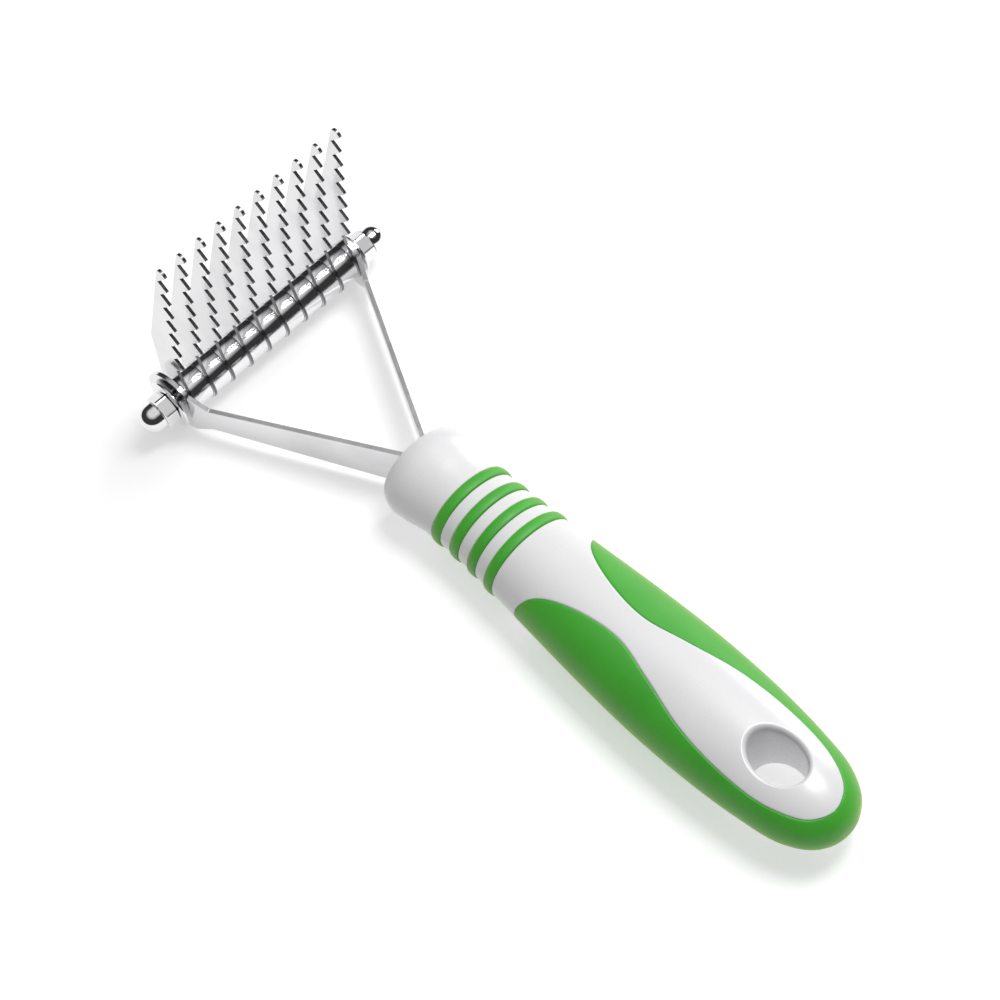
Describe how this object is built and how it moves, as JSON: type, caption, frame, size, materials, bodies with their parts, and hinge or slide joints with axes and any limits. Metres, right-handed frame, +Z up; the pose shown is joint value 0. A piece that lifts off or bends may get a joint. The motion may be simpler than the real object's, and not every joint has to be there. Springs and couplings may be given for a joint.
{
  "type": "dematting comb",
  "caption": "Pet dematting rake: serrated steel blades and spacers on an axle bolt between two arms, on a plastic handle with a soft grip and a hang hole.",
  "frame": {"origin": "middle of the footprint on the surface the comb lies on", "axes": "+X along the handle from its tail to the head, Y along the axle, +Z up along the blades"},
  "size_m": [0.1816, 0.0686, 0.0624],
  "materials": {
    "white_plastic": "gloss",
    "green_rubber": "satin",
    "arm_steel": "polished",
    "blade_steel": "polished",
    "plated_steel": "polished"
  },
  "bodies": {
    "frame": {"handle_core": "white_plastic", "grip_overmould": "green_rubber", "neck_ring_1": "green_rubber", "neck_ring_2": "green_rubber", "neck_ring_3": "green_rubber", "neck_ring_4": "green_rubber", "left_arm": "arm_steel", "right_arm": "arm_steel"},
    "blade_bank": {"axle_bolt": "plated_steel", "bolt_washer": "plated_steel", "end_spacer": "plated_steel", "blade_01": "blade_steel", "blade_02": "blade_steel", "blade_03": "blade_steel", "blade_04": "blade_steel", "blade_05": "blade_steel", "blade_06": "blade_steel", "blade_07": "blade_steel", "blade_08": "blade_steel", "blade_09": "blade_steel", "blade_10": "blade_steel", "spacer_01": "plated_steel", "spacer_02": "plated_steel", "spacer_03": "plated_steel", "spacer_04": "plated_steel", "spacer_05": "plated_steel", "spacer_06": "plated_steel", "spacer_07": "plated_steel", "spacer_08": "plated_steel", "spacer_09": "plated_steel"},
    "washer": {"nut_washer": "plated_steel"},
    "nut": {"cap_nut": "plated_steel"}
  },
  "joints": [
    {"name": "bank_swing", "type": "hinge", "parent": "frame", "child": "blade_bank", "pos_m": [0.0832, 0, 0.0076], "axis": [0, 1, 0], "range_deg": [-25, 90]},
    {"name": "washer_shift", "type": "slide", "parent": "blade_bank", "child": "washer", "axis": [0, 1, 0], "range_m": [0, 0.0028]},
    {"name": "nut_turn", "type": "hinge", "parent": "washer", "child": "nut", "pos_m": [0.0832, 0.03, 0.0076], "axis": [0, 1, 0], "range_deg": [0, 1440]}
  ],
  "couplings": [
    {"joint": "nut_turn", "follows": "washer_shift", "rad_per_m": 8976}
  ]
}
